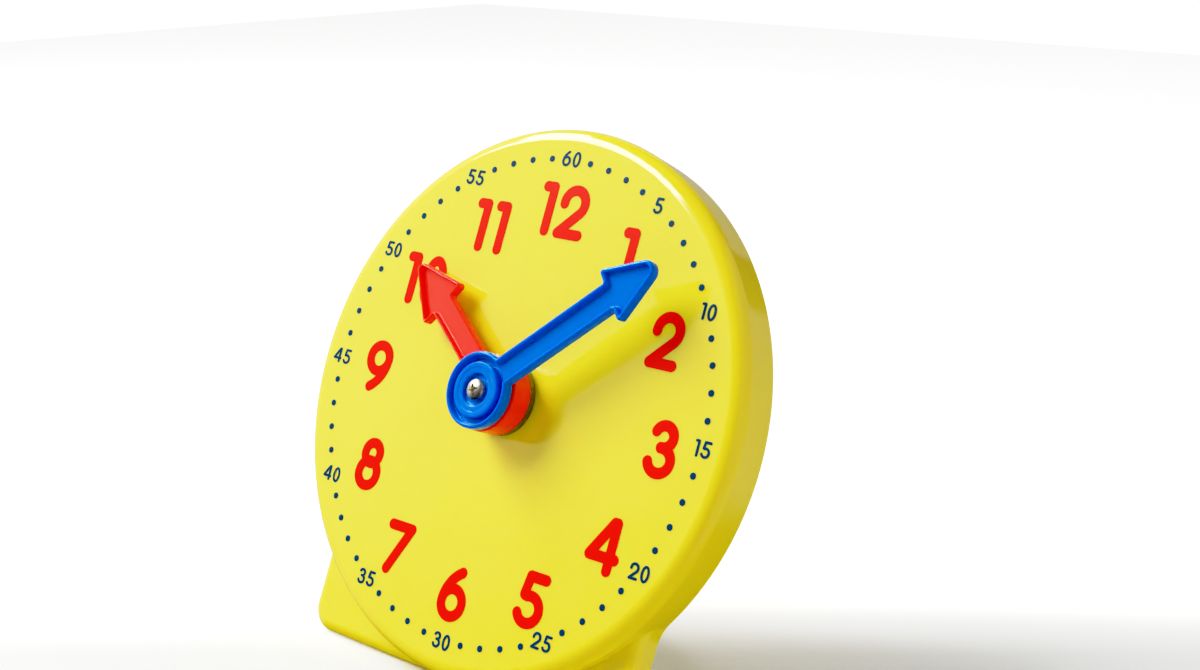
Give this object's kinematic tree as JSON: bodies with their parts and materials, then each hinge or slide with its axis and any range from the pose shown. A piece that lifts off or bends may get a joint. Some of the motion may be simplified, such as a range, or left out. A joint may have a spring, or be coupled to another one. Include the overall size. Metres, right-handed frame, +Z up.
{
  "type": "geared teaching clock",
  "caption": "Small free-standing classroom clock with a numbered dial and geared hour and minute hands for teaching time, on a foot with a fold-out leg.",
  "frame": {"origin": "middle of the flat under the foot that the clock stands on", "axes": "+X to the right seen from the front, +Y to the back, +Z up; the dial faces -Y and leans back 23 degrees"},
  "size_m": [0.1026, 0.0482, 0.0972],
  "materials": {
    "yellow_abs": "glossy moulded ABS, lemon yellow",
    "red_abs": "glossy moulded ABS, orange red",
    "blue_abs": "glossy moulded ABS, bright blue",
    "red_ink": "pad-printed ink, semi-gloss",
    "blue_ink": "pad-printed ink, semi-gloss",
    "nickel_steel": "nickel-plated steel screw",
    "washer_steel": "plain steel, turned",
    "spring_steel": "blued spring steel",
    "bush_brass": "turned brass",
    "white_acetal": "moulded acetal, satin white",
    "white_nylon": "nylon washer, satin"
  },
  "bodies": {
    "case": {"front_case": "yellow_abs", "back_cover": "yellow_abs", "cover_screws": "nickel_steel", "gear_bridge": "white_acetal", "bridge_screws": "nickel_steel", "dial_bush": "bush_brass", "dial_washer": "washer_steel", "hour_numerals": "red_ink", "minute_numerals": "blue_ink", "minute_dots": "blue_ink", "intermediate_axle": "washer_steel", "friction_spring": "spring_steel", "stand_pin": "washer_steel"},
    "minute": {"minute_arbor": "white_acetal", "minute_hand": "blue_abs", "hand_screw": "nickel_steel", "hand_spacer": "white_nylon"},
    "hour": {"hour_wheel": "white_acetal", "hour_hand": "red_abs"},
    "intermediate": {"intermediate_wheel": "white_acetal"},
    "stand": {"stand_leg": "yellow_abs"}
  },
  "joints": [
    {"name": "minute_spin", "type": "hinge", "parent": "case", "child": "minute", "pos_m": [0, 0.01223, 0.05088], "axis": [0, 0.9205, -0.3907], "continuous": true},
    {"name": "intermediate_spin", "type": "hinge", "parent": "case", "child": "intermediate", "pos_m": [0, 0.02161, 0.07297], "axis": [0, 0.9205, -0.3907], "continuous": true},
    {"name": "hour_spin", "type": "hinge", "parent": "case", "child": "hour", "pos_m": [0, 0.01223, 0.05088], "axis": [0, 0.9205, -0.3907], "continuous": true},
    {"name": "stand_fold", "type": "hinge", "parent": "case", "child": "stand", "pos_m": [0, 0.02677, 0.0534], "axis": [-1, 0, 0], "range_deg": [0, 37.4]}
  ],
  "couplings": [
    {"joint": "intermediate_spin", "follows": "minute_spin", "ratio": -0.33333},
    {"joint": "hour_spin", "follows": "minute_spin", "ratio": 0.083333}
  ]
}
